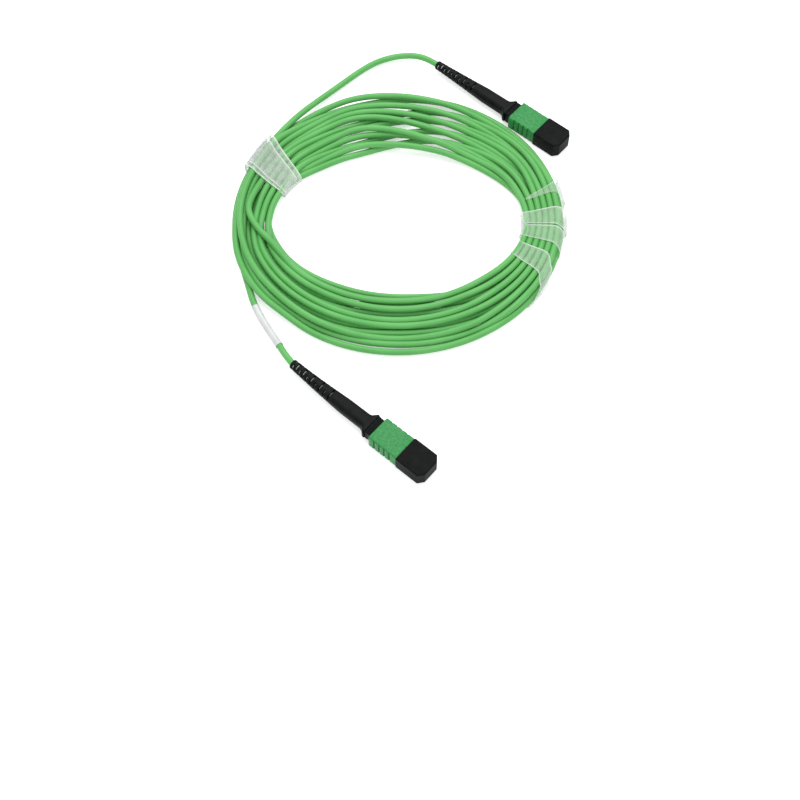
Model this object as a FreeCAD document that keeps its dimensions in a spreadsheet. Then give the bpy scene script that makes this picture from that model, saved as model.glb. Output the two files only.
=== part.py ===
import FreeCAD, Part
import math
import os
import re

import Sketcher

# A multi-fibre push-pull connector on a coiled patch cord, lying flat.
# The connector points along +X and rests at Z = 0. X = 0 and Y = 0 are the middle of its length
# and width, from the tail of the boot to the front of the dust cap.
# Each connector piece is drawn about the fibre axis: x = 0 is the seat plane, where the head of the
# boot meets the body, and +x points to the mating face. All sizes are in millimetres.

SIZES = {
    # Dust cap: a moulded box over the nose, with its two front corners cut off.
    "cap_length": 13.9,
    "cap_width": 13.0,
    "cap_height": 8.1,
    "cap_front_wall": 1.4,
    "cap_cut_along": 2.1,
    "cap_cut_across": 2.6,
    "cap_round": 0.8,
    "cap_fit": 0.06,
    "cap_gap": 0.1,
    # Coupling sleeve: slides back on the housing to release the latches.
    "sleeve_length": 15.2,
    "sleeve_width": 12.4,
    "sleeve_height": 7.7,
    "sleeve_round": 0.9,
    "sleeve_rim": 0.25,
    "sleeve_gap": 3.3,
    "sleeve_fit": 0.05,
    "grip_count": 4,
    "grip_start": 3.0,
    "grip_pitch": 2.75,
    "grip_width": 0.6,
    "grip_depth": 0.45,
    "grip_height": 6.2,
    # Inner housing: the body that carries the ferrule, with the key on top.
    "housing_width": 9.6,
    "housing_height": 5.6,
    "housing_round": 0.4,
    "nose_reach": 4.7,
    "nose_rim": 0.3,
    "cavity_width": 7.3,
    "cavity_height": 4.5,
    "key_width": 3.0,
    "key_height": 0.5,
    "key_root": 1.0,
    "key_length": 9.0,
    "key_inset": 0.8,
    "notch_inset": 2.2,
    "notch_length": 2.0,
    "notch_depth": 0.9,
    "seat_gap": 0.02,
    "chamber_play": 0.3,
    # Ferrule with its two guide pins and twelve fibres.
    "ferrule_width": 6.4,
    "ferrule_height": 2.5,
    "ferrule_length": 8.0,
    "ferrule_proud": 0.3,
    "ferrule_fit": 0.05,
    "ferrule_float": 0.9,
    "shoulder_width": 7.1,
    "shoulder_height": 3.1,
    "shoulder_length": 1.8,
    "glue_start": 1.2,
    "glue_length": 1.8,
    "glue_width": 3.0,
    "pin_diameter": 0.7,
    "pin_pitch": 4.6,
    "pin_reach": 2.1,
    "pin_fit": 0.01,
    "fibre_count": 12,
    "fibre_pitch": 0.25,
    "fibre_diameter": 0.125,
    "fibre_fit": 0.01,
    "ribbon_width": 3.1,
    "ribbon_height": 0.31,
    "ribbon_tail": 4.5,
    "ribbon_gap": 0.2,
    "ribbon_fit": 0.02,
    # Ferrule boot and pin clamp, behind the ferrule.
    "slip_width": 3.4,
    "slip_height": 1.2,
    "slip_depth": 3.0,
    "slip_fit": 0.05,
    "clamp_length": 2.0,
    # Springs.
    "main_coil": 4.4,
    "main_wire": 0.4,
    "main_turns": 7,
    "side_coil": 1.1,
    "side_wire": 0.2,
    "side_turns": 7,
    "side_rear": 7.0,
    "side_length": 9.0,
    "side_fit": 0.03,
    # Spring push: flange, two snap legs and the crimp barrel.
    "flange_length": 1.2,
    "seat_length": 0.6,
    "seat_fit": 0.1,
    "leg_length": 8.0,
    "leg_inner": 5.5,
    "leg_height": 2.8,
    "leg_fit": 0.05,
    "hook_start": 3.8,
    "hook_length": 1.6,
    "hook_height": 1.4,
    "hook_reach": 0.75,
    "hook_fit": 0.1,
    "window_margin": 0.2,
    "barrel_length": 7.5,
    "barrel_diameter": 4.2,
    "barrel_bore": 3.4,
    "barrel_root": 0.5,
    "groove_start": 1.0,
    "barrel_groove": 0.12,
    "barrel_groove_width": 0.6,
    "barrel_grooves": 2,
    # Strength yarn and crimp sleeve on the barrel.
    "yarn_wall": 0.15,
    "yarn_inset": 0.6,
    "crimp_wall": 0.25,
    "crimp_fit": 0.02,
    "crimp_neck": 4.2,
    "crimp_neck_wall": 0.4,
    "crimp_step_gap": 0.05,
    # Boot: tapers from the head to the tail, slotted so that it bends.
    "boot_length": 46.4,
    "boot_gap": 0.15,
    "boot_width": 7.1,
    "boot_height": 6.0,
    "boot_straight": 15.5,
    "boot_neck_length": 39.0,
    "boot_neck": 4.9,
    "boot_tail": 4.4,
    "boot_fit": 0.05,
    "boot_barrel_room": 0.5,
    "boot_crimp_room": 0.2,
    "head_width": 10.9,
    "head_height": 6.2,
    "head_length": 3.4,
    "head_rim": 1.0,
    "head_inset": 0.6,
    "head_round": 0.5,
    "slot_count": 10,
    "slot_first": 1.6,
    "slot_pitch": 1.9,
    "slot_growth": 0.06,
    "slot_width": 0.8,
    "slot_web": 1.3,
    # Cord, its label sleeve and the film that ties the coil.
    "cord_diameter": 3.0,
    "cord_fit": 0.05,
    "cord_gap": 0.5,
    "label_diameter": 3.6,
    "label_fit": 0.03,
    "coil_outer_long": 154.0,
    "coil_outer_short": 149.0,
    "coil_inner_long": 116.0,
    "coil_inner_short": 82.0,
    "coil_height": 6.6,
    "coil_chamfer": 1.9,
    "film_gap": 0.05,
    "film_thickness": 0.2,
    # How far a cutter reaches past the surface that it cuts.
    "cut_margin": 1.0,
}

# Lengths that follow from the sizes above, each an expression of them.
DERIVED = {
    "sleeve_front": "sleeve_gap + sleeve_length",
    "cap_rear": "sleeve_front + cap_gap",
    "cap_front": "cap_rear + cap_length",
    "nose_tip": "sleeve_front + nose_reach",
    "ferrule_face": "nose_tip + ferrule_proud",
    "ferrule_rear": "ferrule_face - ferrule_length",
    "collar_rear": "ferrule_rear + shoulder_length + seat_gap",
    "slip_front": "ferrule_rear + slip_depth",
    "clamp_rear": "ferrule_rear - clamp_length",
    "key_front": "nose_tip - key_inset",
    "key_rear": "key_front - key_length",
    "leg_front": "flange_length + seat_length + leg_length",
    "side_front": "side_rear + side_length",
    "side_middle": "(housing_width + sleeve_fit) / 2",
    "side_reach": "side_coil / 2 + side_fit",
    "yarn_diameter": "barrel_diameter + 2 * crimp_fit + 2 * yarn_wall",
    "crimp_bore": "yarn_diameter + 2 * crimp_fit",
    "crimp_diameter": "crimp_bore + 2 * crimp_wall",
    "crimp_small_bore": "cord_diameter + 2 * crimp_fit",
    "crimp_small": "crimp_small_bore + 2 * crimp_neck_wall",
    "crimp_rear": "barrel_length + crimp_neck",
    "cord_start": "barrel_length + cord_gap",
    "axis_height": "cap_height / 2",
    "seat_x": "(boot_length - cap_front) / 2",
}

doc = FreeCAD.newDocument("FibreConnector")
sheet = doc.addObject("Spreadsheet::Sheet", "Sizes")
for row, (alias, number) in enumerate(SIZES.items(), start=1):
    sheet.set(f"A{row}", alias)
    sheet.set(f"B{row}", str(number))
    sheet.setAlias(f"B{row}", alias)
doc.recompute()

# Flat sides that stand in for round ones, where that keeps the mesh light.
BOOT_SIDES = 20
BORE_SIDES = 12
CORD_SIDES = 12
COIL_SIDES = 40
GUIDE_SIDES = 12
FIBRE_SIDES = 6
TURN_STEPS = 10

# The share of the shorter run that the arc at a route's corner takes.
CORNER_SHARE = 0.45

X = FreeCAD.Vector(1, 0, 0)
Z = FreeCAD.Vector(0, 0, 1)
CLOSE = 1e-4


def spelled(text):
    """An expression in plain size names, spelled out for the document."""
    def spell(match):
        word = match[0]
        if word in DERIVED:
            return f"({spelled(DERIVED[word])})"
        return f"Sizes.{word}" if word in SIZES else word

    return re.sub(r"[a-z_]+", spell, text)


def bind(thing, name, text):
    thing.setExpression(name, spelled(text))


def number(text):
    return float(sheet.evalExpression(spelled(text)))


def near(one, other):
    return abs(one - other) < CLOSE


# ---------------------------------------------------------------- drawing helpers

def settle(feature):
    """Brings the document up to date, and stops at a feature that failed."""
    doc.recompute()
    if "Invalid" in feature.State or "Error" in feature.State:
        raise RuntimeError(f"{feature.Name}: {feature.getStatusString()}")


def new_body(name):
    body = doc.addObject("PartDesign::Body", name)
    body.Label = name
    return body


def datum(body, role):
    return next(item for item in body.Origin.OriginFeatures if item.Role == role)


def new_sketch(body, role, offset="0"):
    """A sketch on one of the body's own planes: YZ for sections, XY for plans."""
    sketch = body.newObject("Sketcher::SketchObject", body.Name + "_sketch")
    sketch.AttachmentSupport = [(datum(body, role), "")]
    sketch.MapMode = "FlatFace"
    bind(sketch, "AttachmentOffset.Base.z", offset)
    return sketch


def polygon(sketch, corners):
    """A closed outline through corners, each a pair of expressions."""
    count = len(corners)
    first = sketch.GeometryCount
    turn = 2 * math.pi / count
    rough = [FreeCAD.Vector(math.cos(k * turn), math.sin(k * turn), 0) for k in range(count)]
    for k in range(count):
        sketch.addGeometry(Part.LineSegment(rough[k], rough[(k + 1) % count]))
    for k in range(count):
        other = first + (k + 1) % count
        sketch.addConstraint(Sketcher.Constraint("Coincident", first + k, 2, other, 1))
    for k, corner in enumerate(corners):
        for kind, text in zip(("DistanceX", "DistanceY"), corner):
            place = sketch.addConstraint(Sketcher.Constraint(kind, -1, 1, first + k, 1, 1.0))
            bind(sketch, f"Constraints[{place}]", text)


def rectangle(sketch, width, height, across="0", up="0"):
    left, right = f"{across} - ({width}) / 2", f"{across} + ({width}) / 2"
    low, high = f"{up} - ({height}) / 2", f"{up} + ({height}) / 2"
    polygon(sketch, [(left, low), (right, low), (right, high), (left, high)])


def circle(sketch, diameter, across="0", up="0"):
    place = sketch.addGeometry(Part.Circle(FreeCAD.Vector(), Z, 1.0))
    size = sketch.addConstraint(Sketcher.Constraint("Diameter", place, 2.0))
    bind(sketch, f"Constraints[{size}]", diameter)
    for kind, text in (("DistanceX", across), ("DistanceY", up)):
        at = sketch.addConstraint(Sketcher.Constraint(kind, -1, 1, place, 3, 1.0))
        bind(sketch, f"Constraints[{at}]", text)


def many_sided(sketch, width, height, sides, across="0", up="0"):
    """A regular outline with flat sides, in place of a round one where that keeps the mesh light."""
    turns = [(k + 0.5) * 360 / sides for k in range(sides)]
    polygon(sketch, [(f"{across} + ({width}) / 2 * cos({turn} deg)",
                      f"{up} + ({height}) / 2 * sin({turn} deg)") for turn in turns])


def many_sided_hole(sketch, diameter, sides, across="0", up="0"):
    """The same, with its flats clear of a round piece of that diameter."""
    size = f"({diameter}) / cos({180 / sides} deg)"
    many_sided(sketch, size, size, sides, across, up)


def pad(body, sketch, length, midplane=False):
    feature = body.newObject("PartDesign::Pad", body.Name + "_pad")
    feature.Profile = sketch
    feature.Midplane = midplane
    bind(feature, "Length", length)
    settle(feature)
    return feature


def pocket(body, sketch, length, midplane=False):
    """Cuts along the sketch's normal, and makes sure that something was cut."""
    before = body.Shape.Volume
    feature = body.newObject("PartDesign::Pocket", body.Name + "_pocket")
    feature.Profile = sketch
    feature.Midplane = midplane
    feature.Reversed = not midplane
    bind(feature, "Length", length)
    settle(feature)
    if body.Shape.Volume > before - CLOSE:
        raise RuntimeError(f"{feature.Name} cut nothing")
    return feature


def block(body, start, length, width, height, across="0", up="0"):
    """A rectangular bar along the axis, from start."""
    sketch = new_sketch(body, "YZ_Plane", start)
    rectangle(sketch, width, height, across, up)
    return pad(body, sketch, length)


def hollow(body, start, length, width, height, across="0", up="0"):
    """A rectangular hole along the axis, from start."""
    sketch = new_sketch(body, "YZ_Plane", start)
    rectangle(sketch, width, height, across, up)
    return pocket(body, sketch, length)


def revolve(body, corners, groove=False):
    """Turns an outline in the XY plane about the fibre axis."""
    sketch = new_sketch(body, "XY_Plane")
    polygon(sketch, corners)
    kind = "Groove" if groove else "Revolution"
    before = body.Shape.Volume if groove else 0
    feature = body.newObject(f"PartDesign::{kind}", f"{body.Name}_{kind.lower()}")
    feature.Profile = sketch
    feature.ReferenceAxis = (datum(body, "X_Axis"), [""])
    feature.Angle = 360
    settle(feature)
    if groove and body.Shape.Volume > before - CLOSE:
        raise RuntimeError(f"{feature.Name} cut nothing")
    return feature


def repeat(body, feature, count, pitch):
    """A row of copies of a feature along the fibre axis."""
    before = body.Shape.Volume
    row = body.newObject("PartDesign::LinearPattern", body.Name + "_row")
    row.Originals = [feature]
    row.Direction = (datum(body, "X_Axis"), [""])
    bind(row, "Occurrences", count)
    bind(row, "Length", f"({count} - 1) * ({pitch})")
    body.Tip = row
    settle(row)
    if near(body.Shape.Volume, before):
        raise RuntimeError(f"{row.Name} repeated nothing")
    return row


def soften(body, kind, size, wanted):
    """Fillets or chamfers the edges that wanted picks."""
    base = body.Tip
    names = [f"Edge{k}" for k, edge in enumerate(base.Shape.Edges, start=1) if wanted(edge)]
    feature = body.newObject(f"PartDesign::{kind}", f"{body.Name}_{kind.lower()}")
    feature.Base = (base, names)
    bind(feature, "Radius" if kind == "Fillet" else "Size", size)
    settle(feature)
    return feature


def runs_along(edge, axis):
    start, end = edge.Vertexes[0].Point, edge.Vertexes[-1].Point
    step = end.sub(start)
    return step.Length > CLOSE and abs(step.normalize().dot(axis)) > 1 - CLOSE


def middle(edge):
    return edge.BoundBox.Center


# ---------------------------------------------------------------- connector pieces

def dust_cap(prefix):
    """Moulded cap: plan outline with two cut corners, hollow from behind, with a key channel."""
    body = new_body(prefix + "dust_cap")
    side, corner = "cap_width / 2", "cap_width / 2 - cap_cut_across"
    shoulder = "cap_front - cap_cut_along"
    plan = new_sketch(body, "XY_Plane")
    polygon(plan, [
        ("cap_rear", f"-{side}"), (shoulder, f"-{side}"), ("cap_front", f"-({corner})"),
        ("cap_front", corner), (shoulder, side), ("cap_rear", side),
    ])
    pad(body, plan, "cap_height", midplane=True)
    top, rear = number("cap_height / 2"), number("cap_rear")
    soften(body, "Fillet", "cap_round",
           lambda edge: near(abs(middle(edge).z), top) and middle(edge).x > rear + CLOSE)
    depth = "cap_length - cap_front_wall"
    hollow(body, "cap_rear", depth,
           "housing_width + 2 * cap_fit", "housing_height + 2 * cap_fit")
    rise = "housing_height / 2 + key_height + cap_fit"
    hollow(body, "cap_rear", depth, "key_width + 2 * cap_fit", rise, up=f"({rise}) / 2")
    return body


def coupling_sleeve(prefix, sprung):
    """Square tube with ribbed sides. The key groove stops it in front."""
    body = new_body(prefix + "coupling_sleeve")
    block(body, "sleeve_gap", "sleeve_length", "sleeve_width", "sleeve_height")
    soften(body, "Fillet", "sleeve_round", lambda edge: runs_along(edge, X))
    if sprung:
        ends = number("sleeve_gap"), number("sleeve_front")
        soften(body, "Chamfer", "sleeve_rim",
               lambda edge: any(near(middle(edge).x, end) for end in ends))
    hollow(body, "sleeve_gap", "sleeve_length",
           "housing_width + 2 * sleeve_fit", "housing_height + 2 * sleeve_fit")
    rise = "housing_height / 2 + key_height + 2 * sleeve_fit"
    hollow(body, "key_rear - sleeve_fit", "sleeve_front - key_rear + sleeve_fit",
           "key_width + 2 * sleeve_fit", rise, up=f"({rise}) / 2")
    if sprung:
        hollow(body, "side_rear - side_fit", "side_length + side_fit",
               "2 * (side_middle + side_reach)", "2 * side_reach")
    grips = new_sketch(body, "YZ_Plane", "sleeve_gap + grip_start")
    for sign in ("", "-"):
        rectangle(grips, "2 * grip_depth", "grip_height", across=f"{sign}sleeve_width / 2")
    grip = pocket(body, grips, "grip_width")
    repeat(body, grip, "grip_count", "grip_pitch")
    return body


def inner_housing(prefix, sprung):
    """The body of the connector: key on top, latch notches at the nose, chamber for the ferrule.
    The one at the far end is one solid behind its ferrule chamber."""
    body = new_body(prefix + "inner_housing")
    rear = "flange_length" if sprung else "0"
    block(body, rear, f"nose_tip - {rear}", "housing_width", "housing_height")
    soften(body, "Fillet", "housing_round", lambda edge: runs_along(edge, X))
    tip = number("nose_tip")
    soften(body, "Chamfer", "nose_rim", lambda edge: near(middle(edge).x, tip))
    block(body, "key_rear", "key_length", "key_width", "key_height + key_root",
          up="(housing_height + key_height - key_root) / 2")
    hollow(body, "nose_tip - ferrule_length", "ferrule_length",
           "ferrule_width + 2 * ferrule_fit", "ferrule_height + 2 * ferrule_fit")
    chamber = rear if sprung else "ferrule_rear - ferrule_float - chamber_play"
    hollow(body, chamber, f"collar_rear - ({chamber})", "cavity_width", "cavity_height")
    notches = new_sketch(body, "YZ_Plane", "nose_tip - notch_inset - notch_length")
    for sign in ("", "-"):
        rectangle(notches, "2 * notch_depth", "housing_height", across=f"{sign}housing_width / 2")
    pocket(body, notches, "notch_length")
    if sprung:
        grooves = new_sketch(body, "YZ_Plane", "side_rear")
        for sign in ("", "-"):
            rectangle(grooves, "2 * side_reach", "2 * side_reach", across=f"{sign}side_middle")
        pocket(body, grooves, "side_length")
        windows = new_sketch(body, "YZ_Plane", "hook_start - hook_fit")
        for sign in ("", "-"):
            rectangle(windows, "housing_width - cavity_width + 2 * window_margin",
                      "hook_height + 2 * hook_fit", across=f"{sign}housing_width / 2")
        pocket(body, windows, "hook_length + 2 * hook_fit")
    return body


def ferrule(prefix):
    """Moulded ferrule: twelve fibre holes in a row between two guide pin holes."""
    body = new_body(prefix + "ferrule")
    block(body, "ferrule_rear", "ferrule_length", "ferrule_width", "ferrule_height")
    block(body, "ferrule_rear", "shoulder_length", "shoulder_width", "shoulder_height")
    hollow(body, "ferrule_rear", "slip_depth",
           "slip_width + 2 * slip_fit", "slip_height + 2 * slip_fit")
    guides = new_sketch(body, "YZ_Plane", "ferrule_rear")
    for sign in ("", "-"):
        many_sided_hole(guides, "pin_diameter + 2 * pin_fit", GUIDE_SIDES,
                        across=f"{sign}pin_pitch / 2")
    pocket(body, guides, "ferrule_length")
    window = new_sketch(body, "XY_Plane")
    rectangle(window, "glue_length", "glue_width",
              across="ferrule_rear + shoulder_length + glue_start")
    pocket(body, window, "ferrule_height")
    fibres = new_sketch(body, "YZ_Plane", "slip_front")
    for k in range(int(number("fibre_count"))):
        many_sided_hole(fibres, "fibre_diameter + 2 * fibre_fit", FIBRE_SIDES,
                        across=f"({k} - (fibre_count - 1) / 2) * fibre_pitch")
    pocket(body, fibres, "ferrule_face - slip_front")
    return body


def guide_pin(name, sign):
    """A steel pin, held in the clamp and standing out of the ferrule's face."""
    body = new_body(name)
    section = new_sketch(body, "YZ_Plane", "clamp_rear")
    circle(section, "pin_diameter", across=f"{sign}pin_pitch / 2")
    pad(body, section, "ferrule_face + pin_reach - clamp_rear")
    return body


def pin_clamp():
    """Block behind the ferrule that grips both pins and takes the spring's push."""
    body = new_body("pin_clamp")
    block(body, "clamp_rear", "clamp_length", "shoulder_width", "shoulder_height")
    hollow(body, "clamp_rear", "clamp_length",
           "slip_width + 4 * slip_fit", "slip_height + 4 * slip_fit")
    holes = new_sketch(body, "YZ_Plane", "clamp_rear")
    for sign in ("", "-"):
        many_sided_hole(holes, "pin_diameter + 2 * pin_fit", GUIDE_SIDES,
                        across=f"{sign}pin_pitch / 2")
    pocket(body, holes, "clamp_length")
    slots = new_sketch(body, "YZ_Plane", "clamp_rear")
    for sign in ("", "-"):
        rectangle(slots, "shoulder_width / 2 - pin_pitch / 2", "pin_diameter / 2",
                  across=f"{sign}(shoulder_width + pin_pitch) / 4")
    pocket(body, slots, "clamp_length")
    return body


def ferrule_boot():
    """Soft slip that guides the ribbon into the ferrule."""
    body = new_body("ferrule_boot")
    block(body, "clamp_rear", "slip_front - clamp_rear", "slip_width", "slip_height")
    hollow(body, "clamp_rear", "slip_front - clamp_rear",
           "ribbon_width + 2 * ribbon_fit", "ribbon_height + 2 * ribbon_fit")
    return body


def fibre_ribbon():
    """Flat ribbon that parts into twelve bare fibres, polished flush with the ferrule's face."""
    body = new_body("fibre_ribbon")
    front = "slip_front - ribbon_gap"
    block(body, "-ribbon_tail", f"{front} + ribbon_tail", "ribbon_width", "ribbon_height")
    fibres = new_sketch(body, "YZ_Plane", front)
    for k in range(int(number("fibre_count"))):
        many_sided(fibres, "fibre_diameter", "fibre_diameter", FIBRE_SIDES,
                   across=f"({k} - (fibre_count - 1) / 2) * fibre_pitch")
    pad(body, fibres, f"ferrule_face - ({front})")
    return body


def spring_push():
    """Snaps into the back of the housing, and carries the barrel that the cord is crimped to."""
    body = new_body("spring_push")
    block(body, "0", "flange_length", "housing_width", "housing_height")
    block(body, "flange_length", "seat_length",
          "cavity_width - 2 * seat_fit", "cavity_height - 2 * seat_fit")
    leg, face = "(cavity_width - leg_inner) / 2 - leg_fit", "cavity_width / 2 - leg_fit"
    for sign in ("", "-"):
        block(body, "flange_length", "seat_length + leg_length", leg, "leg_height",
              across=f"{sign}({face} - ({leg}) / 2)")
        block(body, "hook_start", "hook_length", "2 * hook_reach", "hook_height",
              across=f"{sign}({face})")
    outer, inner = "barrel_diameter / 2", "barrel_bore / 2"
    revolve(body, [("-barrel_length", inner), ("barrel_root", inner), ("barrel_root", outer),
                   ("-barrel_length", outer)])
    through = new_sketch(body, "YZ_Plane", "-barrel_length")
    circle(through, "barrel_bore")
    pocket(body, through, "barrel_length + flange_length + seat_length")
    floor, past = f"{outer} - barrel_groove", f"{outer} + cut_margin"
    first = "-barrel_length + groove_start"
    last = f"{first} + barrel_groove_width"
    groove = revolve(body, [(first, floor), (last, floor), (last, past), (first, past)],
                     groove=True)
    repeat(body, groove, "barrel_grooves", "4 * barrel_groove_width")
    return body


def aramid_yarn():
    """Strength yarn of the cord, folded forward over the barrel."""
    body = new_body("aramid_yarn")
    outer, inner = "yarn_diameter / 2", "barrel_diameter / 2 + crimp_fit"
    revolve(body, [("-barrel_length", inner), ("-yarn_inset", inner), ("-yarn_inset", outer),
                   ("-barrel_length", outer)])
    return body


def crimp_sleeve():
    """Stepped metal sleeve: the wide end grips the yarn on the barrel, the neck grips the jacket."""
    body = new_body("crimp_sleeve")
    inner_step = "-barrel_length - crimp_step_gap"
    outer_step = f"{inner_step} - crimp_wall"
    revolve(body, [
        ("-crimp_rear", "crimp_small_bore / 2"), (inner_step, "crimp_small_bore / 2"),
        (inner_step, "crimp_bore / 2"), ("-yarn_inset", "crimp_bore / 2"),
        ("-yarn_inset", "crimp_diameter / 2"), (outer_step, "crimp_diameter / 2"),
        (outer_step, "crimp_small / 2"), ("-crimp_rear", "crimp_small / 2"),
    ])
    return body


def boot(prefix):
    """Soft boot: a wide flat head, oval sections that taper to a round tail, and slots cut in turn
    from both sides and from above and below, so that it bends."""
    body = new_body(prefix + "boot")
    plan = new_sketch(body, "XY_Plane")
    root, side = "boot_width / 2 - head_inset", "head_width / 2"
    polygon(plan, [
        ("-head_length", f"-({root})"), ("-head_rim", f"-{side}"), ("-boot_gap", f"-{side}"),
        ("-boot_gap", side), ("-head_rim", side), ("-head_length", root),
    ])
    pad(body, plan, "head_height", midplane=True)
    level, front = number("head_height / 2"), number("-boot_gap")
    soften(body, "Fillet", "head_round",
           lambda edge: near(abs(middle(edge).z), level) and middle(edge).x < front - CLOSE)
    sections = []
    for x, width, high in (
            ("-boot_length", "boot_tail", "boot_tail"),
            ("-boot_neck_length", "boot_neck", "boot_neck"),
            ("-boot_straight", "boot_width", "boot_height"),
            ("-head_rim", "boot_width", "boot_height")):
        sketch = new_sketch(body, "YZ_Plane", x)
        many_sided(sketch, width, high, BOOT_SIDES)
        settle(sketch)
        sections.append(sketch)
    taper = body.newObject("PartDesign::AdditiveLoft", body.Name + "_taper")
    taper.Profile = sections[0]
    taper.Sections = sections[1:]
    taper.Ruled = True
    settle(taper)
    for start, diameter in (
            ("-barrel_length - boot_barrel_room", "crimp_diameter + 2 * boot_fit"),
            ("-crimp_rear - boot_crimp_room", "crimp_small + 2 * boot_fit"),
            ("-boot_length", "cord_diameter + 2 * cord_fit")):
        room = new_sketch(body, "YZ_Plane", start)
        many_sided_hole(room, diameter, BORE_SIDES)
        pocket(body, room, f"-boot_gap - ({start})")
    reach = "boot_height + 2 * cut_margin"
    for k in range(int(number("slot_count"))):
        place = f"-boot_length + slot_first + {k} * slot_pitch + {k * k} * slot_growth"
        slots = new_sketch(body, "YZ_Plane", f"{place} - slot_width / 2")
        for sign in ("", "-"):
            side = f"{sign}(slot_web + {reach}) / 2"
            if k % 2:
                rectangle(slots, "boot_width + 2 * cut_margin", f"{reach} - slot_web", up=side)
            else:
                rectangle(slots, f"{reach} - slot_web", "boot_width + 2 * cut_margin", across=side)
        pocket(body, slots, "slot_width")
    return body


def cable_end(prefix):
    """The last stretch of the cord, inside the boot and up to the barrel."""
    body = new_body(prefix + "cable_end")
    section = new_sketch(body, "YZ_Plane", "-boot_length")
    circle(section, "cord_diameter")
    pad(body, section, "boot_length - cord_start")
    return body


# ---------------------------------------------------------------- springs and cords

def add_solid(name, shape):
    feature = doc.addObject("Part::Feature", name)
    feature.Label = name
    feature.Shape = shape
    return feature


def coil_spring(name, coil, wire, turns, rear, front, across):
    """A compression spring of square-edged wire, as straight bars round a helix. The wire leans,
    so at each end its middle stands a little more than half its thickness in."""
    radius = (coil - wire) / 2
    start, end = rear + 0.6 * wire, front - 0.6 * wire
    points = []
    for k in range(int(turns) * TURN_STEPS + 1):
        angle = 2 * math.pi * k / TURN_STEPS
        along = start + (end - start) * k / (turns * TURN_STEPS)
        points.append(FreeCAD.Vector(along, across + radius * math.cos(angle),
                                     radius * math.sin(angle)))
    path = Part.makePolygon(points)
    half = wire / 2
    first = points[0]
    square = Part.makePolygon([first + FreeCAD.Vector(dx, dy, 0) for dx, dy in (
        (-half, -half), (half, -half), (half, half), (-half, half), (-half, -half))])
    return add_solid(name, path.makePipeShell([square], True, False, 1))


def rounded_route(points):
    """Straight runs joined by tangent arcs, each as large as its two runs allow."""
    points = [FreeCAD.Vector(*point) for point in points]
    edges = []
    radii = []
    last = points[0]
    for before, corner, after in zip(points, points[1:], points[2:]):
        back, ahead = before.sub(corner), after.sub(corner)
        reach = CORNER_SHARE * min(back.Length, ahead.Length)
        half_turn = (math.pi - back.getAngle(ahead)) / 2
        radii.append(reach / math.tan(half_turn))
        back.normalize()
        ahead.normalize()
        enter, leave = corner + back * reach, corner + ahead * reach
        inward = (back + ahead).normalize()
        distance = radii[-1] / math.cos(half_turn) - radii[-1]
        edges.append(Part.LineSegment(last, enter).toShape())
        edges.append(Part.Arc(enter, corner + inward * distance, leave).toShape())
        last = leave
    edges.append(Part.LineSegment(last, points[-1]).toShape())
    return edges, radii


def ring_about(point, direction, diameter):
    """A closed many-sided outline, square to direction."""
    turn = FreeCAD.Rotation(Z, direction)
    corners = []
    for k in range(CORD_SIDES + 1):
        angle = 2 * math.pi * (k % CORD_SIDES + 0.5) / CORD_SIDES
        corner = FreeCAD.Vector(math.cos(angle), math.sin(angle), 0) * (diameter / 2)
        corners.append(point + turn.multVec(corner))
    return Part.makePolygon(corners)


def tube(edges, diameter):
    start = edges[0].Vertexes[0].Point
    direction = edges[0].tangentAt(edges[0].FirstParameter)
    return Part.Wire(edges).makePipeShell([ring_about(start, direction, diameter)], True, False)


def cord_tube(name, points):
    """A stretch of cord. Prints its bends, and checks its volume against section and length."""
    edges, radii = rounded_route(points)
    shape = tube(edges, number("cord_diameter"))
    length = sum(edge.Length for edge in edges)
    section = Part.Face(ring_about(FreeCAD.Vector(), X, number("cord_diameter"))).Area
    print(f"{name}: {length:.1f} long, bends", ", ".join(f"{radius:.1f}" for radius in radii))
    if abs(shape.Volume / (section * length) - 1) > 0.01:
        raise RuntimeError(f"{name} has the wrong volume")
    add_solid(name, shape)
    return edges


def part_of(edge, share):
    """The first part of an edge."""
    first, last = edge.FirstParameter, edge.LastParameter
    return edge.Curve.toShape(first, first + share * (last - first))


def ellipse_face(centre, across, deep, level):
    """A flat face with many straight sides, turned as the coil is."""
    turn = FreeCAD.Rotation(Z, COIL_TURN)
    middle_point = FreeCAD.Vector(*centre, level)
    corners = []
    for k in range(COIL_SIDES + 1):
        angle = 2 * math.pi * (k % COIL_SIDES) / COIL_SIDES
        corner = FreeCAD.Vector(across / 2 * math.cos(angle), deep / 2 * math.sin(angle), 0)
        corners.append(middle_point + turn.multVec(corner))
    return Part.Face(Part.makePolygon(corners))


def coil_ring(grow):
    """The outer shape of the coil: wide in front and behind, drawn in where the film ties it."""
    level = number("film_thickness + film_gap") - grow
    outer = ellipse_face(COIL_OUTER, number("coil_outer_long") + 2 * grow,
                         number("coil_outer_short") + 2 * grow, level)
    inner = ellipse_face(COIL_INNER, number("coil_inner_long") - 2 * grow,
                         number("coil_inner_short") - 2 * grow, level)
    ring = outer.cut(inner).extrude(Z * (number("coil_height") + 2 * grow))
    top = [edge for edge in ring.Edges if near(edge.BoundBox.ZMin, ring.BoundBox.ZMax)]
    return ring.makeChamfer(number("coil_chamfer") + grow, top)


def sector(first, last):
    """A wedge about the coil's centre, between two directions in degrees."""
    margin = number("cut_margin")
    centre = FreeCAD.Vector(*COIL_OUTER, -margin)
    far = number("coil_outer_long")
    rim = []
    for angle in (first, (first + last) / 2, last):
        rim.append(centre + FreeCAD.Rotation(Z, COIL_TURN + angle).multVec(X) * far)
    outline = Part.makePolygon([centre, *rim, centre])
    return Part.Face(outline).extrude(Z * (number("coil_height") + 3 * margin))


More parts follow.
